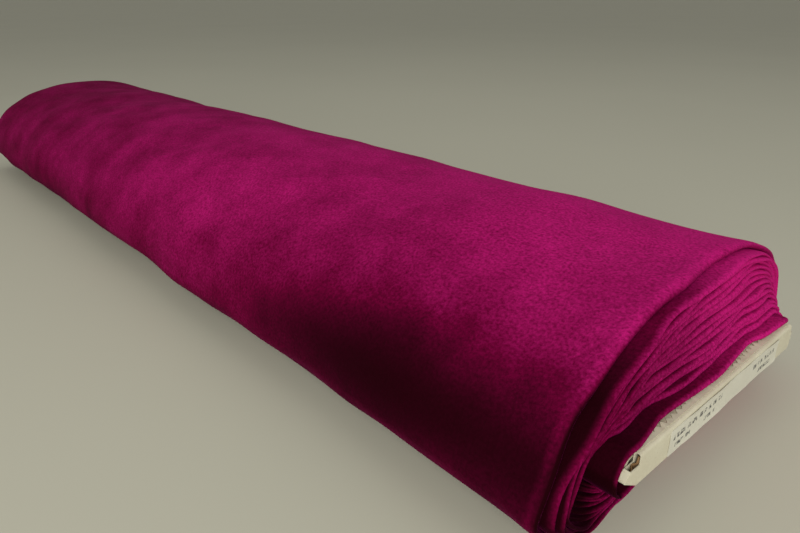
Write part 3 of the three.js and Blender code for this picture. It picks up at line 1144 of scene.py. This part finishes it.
def tonguePiece(name, node, body, side):
    # the tongue tucked in behind a flap: a folded liner round a short fluted core
    low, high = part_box(node)
    half = board["liner"] / 2
    radius = (high.z - low.z) / 2 - half
    middleZ = (high.z + low.z) / 2
    outerX, tipX = (high.x, low.x) if side > 0 else (low.x, high.x)
    angle = np.linspace(-turn / 4, turn / 4, tongue["bendPoints"])
    bendX = outerX - side * (radius + half) + side * radius * np.cos(angle)
    flat = np.linspace(tipX, bendX[0], tongue["flatPoints"], endpoint=False)
    level = np.full(len(flat), radius)
    profile = np.stack([
        np.concatenate([flat, bendX, flat[::-1]]),
        middleZ + np.concatenate([-level, radius * np.sin(angle), level]),
    ], axis=1)
    shells = [(*strip(profile, half, (low.y, high.y), False, xzAt), 0)]
    ys = np.linspace(low.y + tongue["fluteIn"], high.y - tongue["fluteIn"], tongue["flutePoints"])
    amplitude = radius - half - board["flutePaper"] / 2
    wave = np.stack([ys, middleZ + amplitude * np.sin(turn * ys / board["pitch"])], axis=1)
    ends = (tipX + side * tongue["fluteShort"], bendX[0])
    shells.append((*strip(wave, board["flutePaper"] / 2, ends, False, yzAt), 1))
    made = makePiece(name, shells, [whiteLiner, kraftFluting])
    settle(made, body, node)


flapPiece("labelEndFlap", "label_end_flap", "label_flap", labelFlapLow, labelFlapHigh, 1)
flapPiece("plainEndFlap", "plain_end_flap", "plain_flap", plainFlapLow, plainFlapHigh, -1)
tonguePiece("labelEndTongue", "label_end_tongue", "label_tongue", 1)
tonguePiece("plainEndTongue", "plain_end_tongue", "plain_tongue", -1)
print("end flaps made")


labelShape = {
    "thickness": 0.12 * mm,
    "glue": 0.05 * mm,
    "curl": 0.25 * mm,
    "edgeCurl": 0.55,  # share of the curl along the long edges, and how much it varies
    "edgeUneven": 0.45,
    "curlWaves": (51, 6, 0.02, 0.08),
    "endCurl": 0.6,
    "endLength": 0.006,
    "cornerRound": 1.0 * mm,
    "acrossPoints": 120,
    "upPoints": 14,
}


def labelPiece():
    # a paper rectangle stuck to the flap: flat in the middle, its edges lifting by the fourth power
    # of the height and its ends by the square
    shape = labelShape
    share = np.linspace(0, 1, shape["acrossPoints"])[:, None]
    y = mix(paperLow.y, paperHigh.y, share)
    up = np.linspace(-1, 1, shape["upPoints"])[None, :]
    middleZ, halfHeight = (paperLow.z + paperHigh.z) / 2, (paperHigh.z - paperLow.z) / 2
    fromEnd = np.minimum(share, 1 - share) * (paperHigh.y - paperLow.y)
    corner = np.clip(1 - fromEnd / shape["cornerRound"], 0, 1)
    z = middleZ + up * (halfHeight - shape["cornerRound"] * (1 - np.sqrt(1 - corner ** 2)))
    edge = shape["edgeCurl"] + shape["edgeUneven"] * waves(*shape["curlWaves"], y)
    end = shape["endCurl"] * np.clip(1 - fromEnd / shape["endLength"], 0, 1) ** 2
    lift = shape["curl"] * (np.abs(up) ** 4 * edge + end)
    back = labelFlapHigh.x + shape["glue"] + np.clip(lift, 0, 1)
    back = np.minimum(back, paperHigh.x - shape["thickness"])
    y, z, back = np.broadcast_arrays(y, z, back)
    inner = np.stack([back, y, z], axis=2)
    outer = np.stack([back + shape["thickness"], y, z], axis=2)
    rings = np.concatenate([outer, inner[:, ::-1]], axis=1)
    made = makePiece("endLabel", [(*closedTube(rings, False), 0)], [labelPaper])
    settle(made, "label_flap", "end_label", sharp=40)


labelPiece()
for number in (1, 2, 3):
    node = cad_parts[f"starter_tape_{number}"]
    node.data.materials.clear()
    node.data.materials.append(starterTape)
print("label and tapes made")


shot = {
    "fromLabelEnd": 75.1 * mm,  # camera past the board's labelled end
    "aside": -243.7 * mm,
    "height": 180.7 * mm,
    "headingDegrees": 41.93,
    "downDegrees": 22.86,
    "lens": 28.74,
    "sensor": 36.0,
    "clip": (0.01, 600),
}


def makeCamera():
    data = bpy.data.cameras.new("mainCamera")
    data.sensor_width, data.lens = shot["sensor"], shot["lens"]
    data.clip_start, data.clip_end = shot["clip"]
    camera = bpy.data.objects.new("mainCamera", data)
    bpy.context.scene.collection.objects.link(camera)
    camera.location = (labelFlapHigh.x + shot["fromLabelEnd"], shot["aside"], shot["height"])
    heading, down = math.radians(shot["headingDegrees"]), math.radians(shot["downDegrees"])
    look = Vector((-math.cos(heading) * math.cos(down), math.sin(heading) * math.cos(down),
                   -math.sin(down)))
    camera.rotation_mode = "QUATERNION"
    camera.rotation_quaternion = look.to_track_quat("-Z", "Y")
    bpy.context.scene.camera = camera


lights = {
    "overhead": {"place": (0.2, 0.4, 1.9), "size": 2.2, "watts": 3.5, "tone": (1.0, 0.99, 0.96)},
    "front": {"place": (1.2, -1.2, 0.7), "size": 1.2, "watts": 23.0, "tone": (1.0, 0.99, 0.96)},
    "air": {"tone": color(0.98, 0.98, 0.925), "strength": 0.31},
}
tableHalf = 200.0


def makeLight(name):
    setting = lights[name]
    data = bpy.data.lights.new(name, "AREA")
    data.shape, data.size = "DISK", setting["size"]
    data.energy, data.color = setting["watts"], setting["tone"]
    lamp = bpy.data.objects.new(name, data)
    bpy.context.scene.collection.objects.link(lamp)
    lamp.location = setting["place"]
    aim = Vector((0.0, 0.0, 0.0)) - Vector(setting["place"])
    lamp.rotation_mode = "QUATERNION"
    lamp.rotation_quaternion = aim.to_track_quat("-Z", "Y")


def makeRoom():
    world = bpy.data.worlds.new("softAir")
    world.use_nodes = True
    background = world.node_tree.nodes["Background"]
    background.inputs["Color"].default_value = lights["air"]["tone"]
    background.inputs["Strength"].default_value = lights["air"]["strength"]
    bpy.context.scene.world = world
    half = tableHalf
    corners = [(-half, -half, 0), (half, -half, 0), (half, half, 0), (-half, half, 0)]
    mesh = bpy.data.meshes.new("tableTop")
    mesh.from_pydata(corners, [], [(0, 1, 2, 3)])
    mesh.materials.append(paleTable)
    table = bpy.data.objects.new("tableTop", mesh)
    bpy.context.scene.collection.objects.link(table)


makeCamera()
makeLight("overhead")
makeLight("front")
makeRoom()
bpy.context.scene.view_settings.view_transform = "Standard"
print("camera, lights and floor ready")
